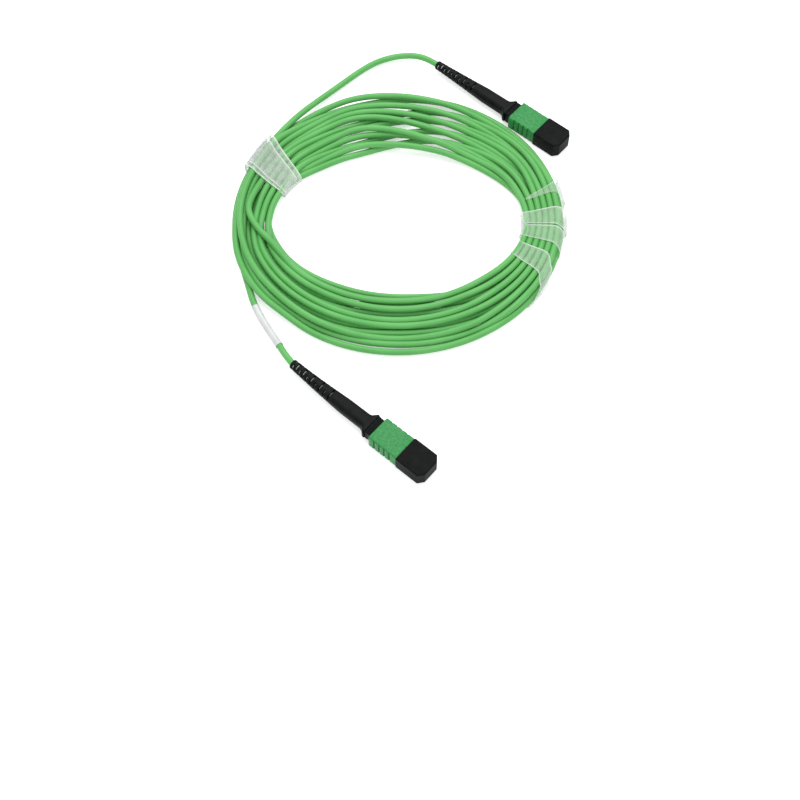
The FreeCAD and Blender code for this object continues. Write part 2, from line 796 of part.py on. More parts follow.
def film_wrap(name, first, last):
    """Clear film wound round the bundle of turns."""
    gap, thickness = number("film_gap"), number("film_thickness")
    skin = coil_ring(gap + thickness).cut(coil_ring(gap))
    return add_solid(name, skin.common(sector(first, last)))


def stub(end, before, length):
    """The first stretch of a lead, where it leaves the bundle of turns."""
    end, before = FreeCAD.Vector(*end), FreeCAD.Vector(*before)
    direction = end.sub(before).normalize()
    section = Part.Face(ring_about(end, direction, number("cord_diameter")))
    return section.extrude(direction * length)


# The coil lies behind the boot, and its long axis is turned from the connector's.
COIL_OUTER = (-56.8, 91.0)
COIL_INNER = (-54.7, 88.9)
COIL_TURN = 40.6
NEAR_STUB = 21.0
FAR_STUB = 14.0
RIGHT_FILM = (-45, 17)
LEFT_FILM = (145, 172)

# The share of the lead's last bend that the label sleeve covers.
LABEL_SHARE = 0.45

# The tail of the second connector, which lies parallel to the first, past the coil.
FAR_TAIL = (-102.0, 174.0)

height = number("axis_height")
near_seat = FreeCAD.Vector(number("seat_x"), 0, height)
far_seat = FreeCAD.Vector(FAR_TAIL[0] + number("boot_length"), FAR_TAIL[1], height)

near_pieces = [
    dust_cap(""),
    coupling_sleeve("", sprung=True),
    inner_housing("", sprung=True),
    ferrule(""),
    guide_pin("guide_pin_left", ""),
    guide_pin("guide_pin_right", "-"),
    pin_clamp(),
    ferrule_boot(),
    fibre_ribbon(),
    spring_push(),
    aramid_yarn(),
    crimp_sleeve(),
    boot(""),
    cable_end(""),
    coil_spring("main_spring", number("main_coil"), number("main_wire"), number("main_turns"),
                number("flange_length + seat_length + seat_gap"),
                number("clamp_rear - seat_gap"), 0),
]
for label, sign in (("coupling_spring_left", 1), ("coupling_spring_right", -1)):
    near_pieces.append(coil_spring(
        label, number("side_coil"), number("side_wire"), number("side_turns"),
        number("side_rear + seat_gap"), number("side_front - seat_gap"),
        sign * number("side_middle")))
far_pieces = [
    dust_cap("far_"),
    coupling_sleeve("far_", sprung=False),
    inner_housing("far_", sprung=False),
    ferrule("far_"),
    boot("far_"),
    cable_end("far_"),
]
for piece in near_pieces:
    piece.Placement.Base = near_seat
for piece in far_pieces:
    piece.Placement.Base = far_seat

# The lead leaves the tail along the axis, sinks to the surface and bends round to the coil.
tail = number("seat_x - boot_length")
rest = number("label_diameter") / 2
LEAD_ROUTE = [
    (tail, 0, height),
    (tail - 6.9, 0, height),
    (tail - 17.4, 4.3, 2.6),
    (tail - 35.6, 12.6, rest),
    (tail - 43.2, 17.3, rest),
]
lead = cord_tube("lead_cord", LEAD_ROUTE)
label_path = [lead[3], lead[4], part_of(lead[5], LABEL_SHARE)]
outer = tube(label_path, number("label_diameter"))
inner = tube(label_path, number(f"(cord_diameter + 2 * label_fit) / cos({180 / CORD_SIDES} deg)"))
add_solid("label_sleeve", outer.cut(inner))

FAR_ROUTE = [
    (-132.4, 106.6, rest),
    (-131.8, 129.0, rest),
    (-129.4, 153.2, rest),
    (-124.2, 164.0, 2.2),
    (-116.9, 170.8, 3.2),
    (FAR_TAIL[0] - 7.0, FAR_TAIL[1], height),
    (*FAR_TAIL, height),
]
cord_tube("far_lead", FAR_ROUTE)

ends = [stub(LEAD_ROUTE[-1], LEAD_ROUTE[-2], NEAR_STUB), stub(FAR_ROUTE[0], FAR_ROUTE[1], FAR_STUB)]
add_solid("cord_coil", coil_ring(0).fuse(ends))
film_wrap("film_wrap_right", *RIGHT_FILM)
film_wrap("film_wrap_left", *LEFT_FILM)

# ---------------------------------------------------------------- check and write

doc.recompute()
for thing in doc.Objects:
    if "Invalid" in thing.State or "Error" in thing.State:
        raise RuntimeError(f"{thing.Name} failed: {thing.State}")
os.makedirs("parts", exist_ok=True)
for thing in doc.Objects:
    if thing.TypeId not in ("PartDesign::Body", "Part::Feature"):
        continue
    if thing.Shape.isNull() or not thing.Shape.isValid():
        raise RuntimeError(f"{thing.Label} has no valid shape")
    thing.Shape.exportStep(os.path.join("parts", thing.Label + ".step"))
    print(f"{thing.Label}: {len(thing.Shape.Solids)} solid, {thing.Shape.Volume:.2f} mm3")
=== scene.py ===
import math
import bpy
import bmesh
from mathutils import Matrix, Vector


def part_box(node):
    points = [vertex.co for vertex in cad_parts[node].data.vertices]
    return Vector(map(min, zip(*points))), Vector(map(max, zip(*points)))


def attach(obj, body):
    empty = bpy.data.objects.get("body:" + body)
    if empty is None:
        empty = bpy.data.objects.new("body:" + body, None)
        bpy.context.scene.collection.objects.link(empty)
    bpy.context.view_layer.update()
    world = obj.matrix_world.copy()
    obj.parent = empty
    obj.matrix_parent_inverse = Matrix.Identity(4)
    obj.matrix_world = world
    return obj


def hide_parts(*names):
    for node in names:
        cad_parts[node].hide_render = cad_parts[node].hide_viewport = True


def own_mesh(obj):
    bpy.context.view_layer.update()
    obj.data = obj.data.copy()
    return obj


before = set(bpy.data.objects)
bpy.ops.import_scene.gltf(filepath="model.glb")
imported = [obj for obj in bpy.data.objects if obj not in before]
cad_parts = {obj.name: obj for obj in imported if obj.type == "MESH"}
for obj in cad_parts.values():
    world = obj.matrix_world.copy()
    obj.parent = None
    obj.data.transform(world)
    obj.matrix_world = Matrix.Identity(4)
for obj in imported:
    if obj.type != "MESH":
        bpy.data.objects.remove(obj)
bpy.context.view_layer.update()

# ---------------------------------------------------------------- Studio
# A pale table under a soft overhead light, with the camera above the front of the connector.
# The table shows white to the camera, and keeps the soft shadow under the cord.

scene = bpy.context.scene
scene.view_settings.view_transform = "Standard"


def shown(name, data):
    """A new object of the scene that shows this data."""
    made = bpy.data.objects.new(name, data)
    scene.collection.objects.link(made)
    return made


def turn_to(thing, place, aim):
    """Puts a camera or lamp at a place and turns it to a point."""
    thing.location = place
    thing.rotation_mode = "QUATERNION"
    thing.rotation_quaternion = (Vector(aim) - Vector(place)).to_track_quat("-Z", "Y")


def soft_light(name, place, aim, size, watts):
    lamp = bpy.data.lights.new(name, "AREA")
    lamp.size = size
    lamp.energy = watts
    turn_to(shown(name, lamp), place, aim)


camera = shown("camera", bpy.data.cameras.new("camera"))
camera.data.lens = 57.42
camera.data.sensor_width = 36
camera.data.clip_start, camera.data.clip_end = 0.01, 20
turn_to(camera, (0.1769, -0.1800, 0.48335), (0.0061, 0.0192, 0))
scene.camera = camera
soft_light("overhead", (-0.35, 0.45, 1.0), (-0.05, 0.08, 0), 0.9, 9)
soft_light("front_fill", (0.7, -0.5, 0.7), (-0.03, 0.05, 0), 0.7, 2.5)


def seen_directly(nodes, links):
    """1 for a ray from the eye, a mirror image or a look through glass, else 0."""
    path = nodes.new("ShaderNodeLightPath")
    total = path.outputs["Is Camera Ray"]
    for other in ("Is Glossy Ray", "Is Transmission Ray"):
        either = nodes.new("ShaderNodeMath")
        either.operation = "MAXIMUM"
        links.new(total, either.inputs[0])
        links.new(path.outputs[other], either.inputs[1])
        total = either.outputs[0]
    return total


world = bpy.data.worlds.new("studio")
scene.world = world
world.use_nodes = True
nodes, links = world.node_tree.nodes, world.node_tree.links
nodes.clear()
room, white, pick, out = (nodes.new(kind) for kind in (
    "ShaderNodeBackground", "ShaderNodeBackground", "ShaderNodeMixShader",
    "ShaderNodeOutputWorld"))
room.inputs["Color"].default_value = (0.62, 0.63, 0.64, 1)
white.inputs["Color"].default_value = (1, 1, 1, 1)
links.new(seen_directly(nodes, links), pick.inputs[0])
links.new(room.outputs[0], pick.inputs[1])
links.new(white.outputs[0], pick.inputs[2])
links.new(pick.outputs[0], out.inputs["Surface"])

table_mesh = bpy.data.meshes.new("table_top")
table_mesh.from_pydata([(x, y, 0) for x, y in ((-3, -3), (3, -3), (3, 3), (-3, 3))], [],
                       [(0, 1, 2, 3)])
table_top = shown("table_top", table_mesh)
pale = bpy.data.materials.new("pale_table")
pale.use_nodes = True
nodes, links = pale.node_tree.nodes, pale.node_tree.links
nodes.clear()
matt, glow, lift, pick, out = (nodes.new(kind) for kind in (
    "ShaderNodeBsdfDiffuse", "ShaderNodeEmission", "ShaderNodeAddShader",
    "ShaderNodeMixShader", "ShaderNodeOutputMaterial"))
matt.inputs["Color"].default_value = (0.9, 0.9, 0.9, 1)
glow.inputs["Color"].default_value = (1, 1, 1, 1)
glow.inputs["Strength"].default_value = 0.5
links.new(matt.outputs[0], lift.inputs[0])
links.new(glow.outputs[0], lift.inputs[1])
links.new(seen_directly(nodes, links), pick.inputs[0])
links.new(matt.outputs[0], pick.inputs[1])
links.new(lift.outputs[0], pick.inputs[2])
links.new(pick.outputs[0], out.inputs["Surface"])
table_mesh.materials.append(pale)

# ---------------------------------------------------------------- Cord
# Twelve-fibre cord with a matt green jacket, 3 mm thick and about 5 m long, wound in a loose flat
# coil. It is one length: the lead from the boot, twelve turns and the lead to the second
# connector. Where the coil is tied, the turns lie in two layers, and between the ties they spread.

CORD = 0.003
OUTER_RIM = Vector((-0.0568, 0.0910)), (0.0770, 0.0745)
INNER_RIM = Vector((-0.0547, 0.0889)), (0.0580, 0.0410)
COIL_TURN = Matrix.Rotation(math.radians(40.6), 2)
POINTS_A_TURN = 36
STEP = 360 // POINTS_A_TURN
# A curve through corner points runs a little inside them, so the points stand out by this much.
OUTSET = 1 / (1 - (1 - math.cos(math.tau / POINTS_A_TURN)) / 4)
FLOOR_LAYER, LAYER_RISE = 0.00175, 0.00275
# Directions are in degrees round the coil, clockwise as they fall. A lap starts behind, passes the
# right tie, the front and the left tie, and ends behind again.
LAP_START, SPREAD, RIGHT_START, RIGHT_END, LEFT_MIDDLE, LEFT_END, LAP_END = (
    48, 62, 8, -45, -206, -232, -310)


def on_rim(rim, angle):
    centre, (across, deep) = rim
    spoke = Vector((across * math.cos(angle), deep * math.sin(angle)))
    spoke.rotate(COIL_TURN)
    return centre + spoke


def in_coil(degrees, inward, layer):
    """A point of the coil: inward runs from 0 at the outer rim to 1 at the inner one."""
    angle = math.radians(degrees)
    outer, inner = on_rim(OUTER_RIM, angle), on_rim(INNER_RIM, angle)
    edge = CORD / 2 / (inner - outer).length
    share = edge + inward * (1 - 2 * edge)
    point = outer.lerp(inner, share)
    hub = OUTER_RIM[0].lerp(INNER_RIM[0], share)
    return (*(hub + (point - hub) * OUTSET), FLOOR_LAYER + layer * LAYER_RISE)


def low(column):
    """A place in the lower layer of a tied bundle, from column 0 outside to 5 inside."""
    return column / 5.5, 0


def high(column):
    """The upper layer lies in the grooves of the lower one."""
    return (column + 0.5) / 5.5, 1


# Where each turn lies, from turn 0 inside to turn 11 outside, as (inward, layer).
BEHIND = [((11 - k) / 11, 0) for k in range(12)]
RIGHT_TIE = [low(5), high(5), low(4), high(4), low(3), low(2), high(3), high(2), low(1), high(1),
             high(0), low(0)]
LEFT_TIE = [low(5), high(2), low(4), high(5), low(3), low(2), high(4), high(3), low(1),
            (0.17, 1.92), high(1), high(0)]
LEFT_BEHIND = [(rank / 11, 0) for rank in (11, 4, 10, 9, 8, 6, 7, 5, 3, 1, 2)] + [(0, 1)]
# The way of each turn round the front, between the ties, with its directions in degrees.
FRONT = [
    [(-90, (1.06, 0)), (-125, (1.10, 0)), (-158, (1.08, 0)), (-188, low(5))],
    [(-75, (0.915, 0.97)), (-90, (0.92, 0.96)), (-105, (0.91, 1)), (-120, (0.94, 1)),
     (-148, (0.97, 1)), (-160, (0.92, 2)), (-184.5, (0.34, 2)), (-199, high(2))],
    [(-66, (0.785, 0)), (-76, (0.87, 0)), (-90, (0.885, 0)), (-104, (0.875, 0)),
     (-116, (0.79, 0)), (-126, (0.775, 0)), (-185, low(4))],
    [(-66, (0.815, 1)), (-76, (0.765, 1)), (-90, (0.76, 1)), (-104, (0.77, 1)),
     (-116, (0.80, 1)), (-126, (0.815, 1)), (-155, (0.845, 1)), (-185, high(5))],
    [(-76, (0.72, 0)), (-104, (0.72, 0)), (-118, (0.675, 0)), (-165, (0.53, 0)),
     (-195, (0.53, 0))],
    [(-70, (0.44, 0)), (-90, (0.495, 0)), (-112, (0.42, 0)), (-165, (0.365, 0))],
    [(-70, (0.57, 1)), (-90, (0.549, 1)), (-160, (0.63, 1)), (-187, high(4))],
    [(-90, (0.445, 1)), (-120, (0.455, 1)), (-160, (0.465, 1)), (-187, high(3))],
    [(-69, (0.33, 0)), (-90, (0.382, 0)), (-112, (0.30, 0)), (-165, (0.205, 0)),
     (-190, low(1))],
    [(-62, (0.215, 1)), (-78, (0.245, 0.35)), (-90, (0.263, 0)), (-101, (0.235, 0.5)),
     (-113, (0.215, 1.06)), (-165, (0.17, 1.92))],
    [(-52, (0.10, 0.6)), (-60, (0.138, 0)), (-80, (0.148, 0)), (-90, (0.160, 0)),
     (-128, (0.155, 0)), (-142, (0.095, 1)), (-158, (0.10, 1)), (-180, high(1))],
    [(-55, (0.015, 0)), (-112, (0.018, 0)), (-124, (0.03, 0)), (-143, (-0.04, 1)),
     (-158, (-0.07, 1)), (-188, high(0))],
]


def ease(share):
    """A soft start and a soft stop, from 0 to 1."""
    share = min(max(share, 0), 1)
    return share * share * (3 - 2 * share)


def early(share):
    """The whole move in the first part of the way."""
    return ease(share / 0.6)


def late(share):
    """The whole move in the last part of the way."""
    return ease((share - 0.4) / 0.6)


SAME_LEVEL, SAME_PLACE = 0.1, 0.04


def between(start, end, share, level=ease):
    """A turn climbs before it moves far over, and comes down after. Level is the pace of a move
    at one height."""
    if abs(end[1] - start[1]) < SAME_LEVEL:
        moved = climbed = level(share)
    elif abs(end[0] - start[0]) < SAME_PLACE:
        moved = climbed = ease(share)
    elif end[1] > start[1]:
        moved, climbed = late(share), early(share)
    else:
        moved, climbed = early(share), late(share)
    return (start[0] + (end[0] - start[0]) * moved, start[1] + (end[1] - start[1]) * climbed)


def along(turn, degrees):
    """Where a turn lies at a direction."""
    way = [(SPREAD, BEHIND[turn]), (RIGHT_START, RIGHT_TIE[turn]), (RIGHT_END, RIGHT_TIE[turn]),
           *FRONT[turn], (LEFT_MIDDLE, LEFT_TIE[turn]), (LEFT_END, LEFT_BEHIND[turn])]
    for (start, here), (end, there) in zip(way, way[1:]):
        if degrees >= end:
            level = {RIGHT_START: late, LEFT_END: early}.get(end, ease)
            return between(here, there, (start - degrees) / (start - end), level)
    return LEFT_BEHIND[turn]


# The lead comes in at the outer rim, low under the left tie.
LEAD_ENTRY = -160
coil_points = []
for degrees in range(LEAD_ENTRY, LEFT_END, -STEP):
    share = (LEFT_MIDDLE - degrees) / (LEFT_MIDDLE - LEFT_END)
    coil_points.append(in_coil(degrees, *between(low(0), (0, 0), share)))
before = (0, 0)
# The turns in the order in which the cord takes them. Behind, each of the first seven rises over
# another turn on the way to its place, and turn 1 rises over two.
for count, turn in enumerate((10, 8, 6, 1, 4, 2, 0, 3, 5, 7, 9, 11)):
    hump = 0 if count > 6 else 2 if turn == 1 else 1.05
    for degrees in range(LEFT_END - STEP, LAP_END, -STEP):
        share = (LEFT_END - degrees) / (LEFT_END - LAP_END)
        inward = before[0] + (BEHIND[turn][0] - before[0]) * ease((share - 0.2) / 0.6)
        layer = before[1] * (1 - ease(share)) + hump * ease(3.5 * min(share, 1 - share))
        coil_points.append(in_coil(degrees, inward, layer))
    for degrees in range(LAP_START, LEFT_END, -STEP):
        coil_points.append(in_coil(degrees, *along(turn, degrees)))
    before = LEFT_BEHIND[turn]

# From the near boot to the coil, and from the coil to the far boot.
LEAD = [(-0.03945, 0.0008, 0.00400), (-0.04500, 0.0020, 0.00385), (-0.05250, 0.0049, 0.0029),
        (-0.06400, 0.0086, 0.0018), (-0.07450, 0.0128, 0.0018), (-0.08265, 0.0180, 0.0018)]
FAR_LEAD = [(-0.1324, 0.1066, 0.0044), (-0.1318, 0.1290, 0.0018), (-0.1294, 0.1532, 0.0018),
            (-0.1242, 0.1640, 0.0022), (-0.1169, 0.1708, 0.0032), (-0.1090, 0.1740, 0.00405),
            (-0.1020, 0.1740, 0.00405)]

cord_points = LEAD + coil_points + FAR_LEAD
cord_line = bpy.data.curves.new("cord", "CURVE")
cord_line.dimensions = "3D"
spline = cord_line.splines.new("NURBS")
spline.points.add(len(cord_points) - 1)
for point, place in zip(spline.points, cord_points):
    point.co = (*place, 1)
spline.order_u = 3
spline.use_endpoint_u = True
spline.resolution_u = 5
cord_line.bevel_depth = CORD / 2
cord_line.bevel_resolution = 5
cord_line.use_fill_caps = True
cord = shown("cord", cord_line)


def grained(name, deep, bright, cloud, roughness, grain, depth, metal=0, gloss=0.4,
            run=(1, 1, 1)):
    """A finish with slow changes of tint and a fine grain. Run draws both out along an axis."""
    finish = bpy.data.materials.new(name)
    finish.use_nodes = True
    nodes, links = finish.node_tree.nodes, finish.node_tree.links
    shader = nodes["Principled BSDF"]
    shader.inputs["Roughness"].default_value = roughness
    shader.inputs["Metallic"].default_value = metal
    shader.inputs["Specular IOR Level"].default_value = gloss
    where, drawn, patches, tint, fine, bump = (nodes.new(kind) for kind in (
        "ShaderNodeTexCoord", "ShaderNodeMapping", "ShaderNodeTexNoise", "ShaderNodeValToRGB",
        "ShaderNodeTexNoise", "ShaderNodeBump"))
    drawn.inputs["Scale"].default_value = run
    patches.inputs["Scale"].default_value = cloud
    tint.color_ramp.elements[0].position = 0.3
    tint.color_ramp.elements[0].color = (*deep, 1)
    tint.color_ramp.elements[1].position = 0.7
    tint.color_ramp.elements[1].color = (*bright, 1)
    fine.inputs["Scale"].default_value = grain
    bump.inputs["Strength"].default_value = depth
    bump.inputs["Distance"].default_value = 0.0002
    links.new(where.outputs["Object"], drawn.inputs["Vector"])
    links.new(drawn.outputs["Vector"], patches.inputs["Vector"])
    links.new(drawn.outputs["Vector"], fine.inputs["Vector"])
    links.new(patches.outputs["Fac"], tint.inputs["Fac"])
    links.new(tint.outputs["Color"], shader.inputs["Base Color"])
    links.new(fine.outputs["Fac"], bump.inputs["Height"])
    links.new(bump.outputs["Normal"], shader.inputs["Normal"])
    return finish


jacket = grained("green_jacket", (0.105, 0.400, 0.100), (0.135, 0.460, 0.125), cloud=60,
                 roughness=0.45, grain=2500, depth=0.06, gloss=0.28)
cord_line.materials.append(jacket)

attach(cord, "connector")
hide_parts("lead_cord", "cord_coil", "far_lead")

# ---------------------------------------------------------------- Label
# A bare strip of soft white film, wrapped once round the lead near the boot and lapped on itself.
# It grips the jacket, so it follows the lead's bend.


def final_mesh(piece):
    """A plain mesh of a piece as its modifiers or its curve leave it."""
    bpy.context.view_layer.update()
    return bpy.data.meshes.new_from_object(
        piece.evaluated_get(bpy.context.evaluated_depsgraph_get()))


def bare_line(curve):
    """The smooth line that a curve follows, as points."""
    thin = curve.copy()
    thin.bevel_depth = 0
    drawn = shown("bare_line", thin)
    points = [vertex.co.copy() for vertex in final_mesh(drawn).vertices]
    bpy.data.objects.remove(drawn)
    return points


def stretch(line, start, end, steps):
    """Evenly spaced points of a line, between two lengths measured along it."""
    places, gone, here = [], 0, 0
    for k in range(steps + 1):
        wanted = start + (end - start) * k / steps
        while gone + (line[here + 1] - line[here]).length < wanted:
            gone += (line[here + 1] - line[here]).length
            here += 1
        run = line[here + 1] - line[here]
        places.append(line[here] + run * ((wanted - gone) / run.length))
    return places


def skin(name, rings, finish, looped=False):
    """Joins closed rings of points into one surface: capped at both ends, or closed on itself."""
    count = len(rings[0])
    mesh = bpy.data.meshes.new(name)
    faces = []
    for row in range(len(rings) if looped else len(rings) - 1):
        ahead = (row + 1) % len(rings)
        for k in range(count):
            beside = (k + 1) % count
            faces.append((row * count + k, row * count + beside,
                          ahead * count + beside, ahead * count + k))
    mesh.from_pydata([point for ring in rings for point in ring], [], faces)
    shape = bmesh.new()
    shape.from_mesh(mesh)
    if not looped:
        bmesh.ops.holes_fill(shape, edges=[edge for edge in shape.edges if edge.is_boundary],
                             sides=0)
    bmesh.ops.recalc_face_normals(shape, faces=shape.faces)
    shape.to_mesh(mesh)
    shape.free()
    mesh.materials.append(finish)
    mesh.shade_smooth()
    return shown(name, mesh)


# The label's film is drawn thicker than it is, so that its lapped edge shows. The edge lies at
# LABEL_EDGE, in radians round the lead.
LABEL_WALL, LABEL_GAP = 0.00013, 0.00004
LABEL_LAP, LABEL_EDGE = math.radians(40), 0.9
LABEL_LENGTH_STEPS, LABEL_ROUND_STEPS = 34, 44
LABEL_TAIL_INSET, LABEL_HEAD_INSET = 0.0007, 0.0002
lead_line = bare_line(cord_line)
label_low, label_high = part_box("label_sleeve")
ahead_of = next(k for k, point in enumerate(lead_line) if point.x < label_high[0])
behind = next(k for k, point in enumerate(lead_line) if point.x < label_low[0] + LABEL_TAIL_INSET)
label_line = stretch(lead_line[ahead_of - 1:behind + 2], LABEL_HEAD_INSET,
                     sum((b - a).length for a, b in zip(lead_line[ahead_of:behind],
                                                        lead_line[ahead_of + 1:behind + 1])),
                     LABEL_LENGTH_STEPS)
label_rings = []
for before, point, after in zip([label_line[0], *label_line], label_line,
                                [*label_line[1:], label_line[-1]]):
    across = (after - before).cross(Vector((0, 0, 1))).normalized()
    upward = across.cross(after - before).normalized()
    outer, inner = [], []
    for k in range(LABEL_ROUND_STEPS + 1):
        turn = (math.tau + LABEL_LAP) * k / LABEL_ROUND_STEPS
        away = CORD / 2 + LABEL_GAP + LABEL_WALL * turn / math.tau
        spoke = across * math.cos(turn - LABEL_EDGE) + upward * math.sin(turn - LABEL_EDGE)
        inner.append(point + spoke * away)
        outer.append(point + spoke * (away + LABEL_WALL * 0.85))
    label_rings.append(outer + inner[::-1])
label_film = grained("label_film", (0.60, 0.61, 0.61), (0.70, 0.70, 0.695), cloud=220,
                     roughness=0.33, grain=1500, depth=0.05)
label = skin("label_wrap", label_rings, label_film)
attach(label, "connector")
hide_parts("label_sleeve")

# ---------------------------------------------------------------- Film ties
# Two strips of clear packing film, wound tightly by hand round the bundle of turns. The right one
# runs in spaced bands and its first end hangs loose, and the left one lies nearly on itself.

FILM_STEPS, FILM_SHEET, FILM_LIFT = 56, 0.00006, 0.0001
# Columns of points across the strip, as shares of its width, close together at its cut edges.
FILM_COLUMNS = 0, 0.05, 0.14, 0.32, 0.5, 0.68, 0.86, 0.95, 1
FILM_ACROSS = len(FILM_COLUMNS) - 1
# How square the strip's way round the bundle is: 1 would be round, and 0 a plain box.
FILM_SQUARE = 0.38
# How far the strip stands off the turns, what each winding adds, how deep it ripples, and how far
# its cut edges lift.
FILM_OFF, FILM_BUILD, FILM_RIPPLE, FILM_CURL = 0.00012, 0.00006, 0.00005, 0.0001
# How much more the film hides where it turns down the sides, and how far it stands off where it
# hides most. Both paint a sheen: the film is drawn whiter and less clear there.
FILM_SIDE_SHEEN, FILM_FULL_SHEEN_STANDOFF = 0.2, 0.004


def curved_between(places, at):
    """A smooth line through (at, value) pairs."""
    for (start, here), (end, there) in zip(places, places[1:]):
        if at <= end:
            return here + (there - here) * ease((at - start) / (end - start))
    return places[-1][1]


def clear_film(name, body):
    """Clear film. Body is how much the sheet itself hides. A painted sheen makes its edges, its
    sides and where it stands off whiter and less clear.
    """
    film = bpy.data.materials.new(name)
    film.use_nodes = True
    nodes, links = film.node_tree.nodes, film.node_tree.links
    shader = nodes["Principled BSDF"]
    shader.inputs["Roughness"].default_value = 0.2
    shader.inputs["Specular IOR Level"].default_value = 0.6
    rim, painted_sheen_tint, streaks, ripple, bump, where, long_way, cover, sheet_and_sheen_cover = (
        nodes.new(kind) for kind in (
            "ShaderNodeAttribute", "ShaderNodeValToRGB", "ShaderNodeTexNoise",
            "ShaderNodeTexNoise", "ShaderNodeBump", "ShaderNodeTexCoord", "ShaderNodeMapping",
            "ShaderNodeMath", "ShaderNodeMath"))
    # The rim value is a painted sheen: it lightens the film's colour and makes it less clear.
    rim.attribute_name = "rim"
    painted_sheen_tint.color_ramp.elements[0].position = 0.0
    painted_sheen_tint.color_ramp.elements[0].color = (0.74, 0.80, 0.74, 1)
    painted_sheen_tint.color_ramp.elements[1].position = 1.0
    painted_sheen_tint.color_ramp.elements[1].color = (0.90, 0.95, 0.90, 1)
    long_way.inputs["Scale"].default_value = (1, 1, 0.25)
    streaks.inputs["Scale"].default_value = 420
    ripple.inputs["Scale"].default_value = 260
    bump.inputs["Strength"].default_value = 0.35
    bump.inputs["Distance"].default_value = 0.0004
    cover.operation = "MULTIPLY_ADD"
    cover.inputs[1].default_value = body * 1.2
    sheet_and_sheen_cover.operation = "MULTIPLY_ADD"
    sheet_and_sheen_cover.inputs[1].default_value = 0.7
    sheet_and_sheen_cover.inputs[2].default_value = body * 0.4
    links.new(where.outputs["Object"], long_way.inputs["Vector"])
    links.new(long_way.outputs["Vector"], streaks.inputs["Vector"])
    links.new(long_way.outputs["Vector"], ripple.inputs["Vector"])
    links.new(rim.outputs["Fac"], painted_sheen_tint.inputs["Fac"])
    links.new(painted_sheen_tint.outputs["Color"], shader.inputs["Base Color"])
    links.new(rim.outputs["Fac"], sheet_and_sheen_cover.inputs[0])
    links.new(streaks.outputs["Fac"], cover.inputs[0])
    links.new(sheet_and_sheen_cover.outputs[0], cover.inputs[2])
    links.new(cover.outputs[0], shader.inputs["Alpha"])
    links.new(ripple.outputs["Fac"], bump.inputs["Height"])
    links.new(bump.outputs["Normal"], shader.inputs["Normal"])
    return film


def film_strip(name, windings, front, back, top, slack, finish):
    """A strip wound round the turns, from over their middle inwards and round. Front and back give
    its edges, in degrees round the coil, against the number of windings. Top gives its height
    against the distance from the outer rim, and slack how far it stands off at the sides."""
    first, last = windings
    steps = round((last - first) * FILM_STEPS)
    points, rim = [], []
    for row in range(steps + 1):
        wound = first + (last - first) * row / steps
        turn = math.pi / 2 + math.tau * wound
        near, far = curved_between(front, wound), curved_between(back, wound)
        for column, share in enumerate(FILM_COLUMNS):
            angle = math.radians(near + (far - near) * share)
            outer, inner = on_rim(OUTER_RIM, angle), on_rim(INNER_RIM, angle)
            width = (inner - outer).length
            ripple = FILM_RIPPLE * math.sin(9 * turn + 5 * share + wound)
            pull = FILM_OFF + FILM_BUILD * wound + ripple
            if column in (0, FILM_ACROSS):
                pull += FILM_CURL
            side, height = (math.copysign(abs(value) ** FILM_SQUARE, value)
                            for value in (math.cos(turn), math.sin(turn)))
            loose = curved_between(slack, wound) * abs(math.cos(turn)) ** 3
            away = width / 2 - side * (width / 2 + pull + loose)
            crown = curved_between(top, away) / 2
            above = crown - FILM_LIFT + (pull if height > 0 else 0)
            level = FILM_LIFT + crown + height * above
            flat = outer.lerp(inner, away / width)
            points.append((flat.x, flat.y, level))
            # Painted sheen, as whiter and less clear film, at the cut edges, down the sides and
            # where the film stands off.
            seen = FILM_SIDE_SHEEN * abs(side) ** 12 + loose / FILM_FULL_SHEEN_STANDOFF
            rim.append(1 if column in (0, FILM_ACROSS) else 0.1 + seen
                       if column in (1, FILM_ACROSS - 1) else seen)
    faces = [(row * (FILM_ACROSS + 1) + k, row * (FILM_ACROSS + 1) + k + 1,
              (row + 1) * (FILM_ACROSS + 1) + k + 1, (row + 1) * (FILM_ACROSS + 1) + k)
             for row in range(steps) for k in range(FILM_ACROSS)]
    mesh = bpy.data.meshes.new(name)
    mesh.from_pydata(points, [], faces)
    edge = mesh.attributes.new("rim", "FLOAT", "POINT")
    edge.data.foreach_set("value", rim)
    mesh.materials.append(finish)
    mesh.shade_smooth()
    strip = shown(name, mesh)
    thickness = strip.modifiers.new("thickness", "SOLIDIFY")
    thickness.thickness = FILM_SHEET
    thickness.offset = 0
    return strip


right_tie = film_strip(
    "right_tie", (-0.36, 3.06),
    front=[(-0.36, -41), (-0.25, -38), (-0.12, -33), (0, -28.8), (0.2, -27.5), (0.8, -17),
           (1, -13.8), (1.8, -8), (2, -4.8), (2.2, -3.5), (2.8, 5), (2.95, 10.5), (3.06, 12.3)],
    back=[(-0.36, -33.5), (-0.25, -29.5), (-0.12, -24), (0, -18.8), (0.2, -17.5), (0.8, -8.5),
          (1, -5.6), (1.2, -4), (1.8, 1.5), (2, 3.6), (2.2, 5), (2.8, 16.5), (2.95, 14.5),
          (3.06, 12.9)],
    top=[(0, 0.0060), (0.03, 0.0060)],
    slack=[(-0.36, 0.0016), (-0.2, 0.0006), (0.2, 0.0002), (0.8, 0.0003), (1.25, 0.0008),
           (1.8, 0.0012), (2.25, 0.0008), (2.8, 0.0009), (3.06, 0.0002)],
    finish=clear_film("right_film", 0.11))
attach(right_tie, "connector")
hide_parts("film_wrap_right")

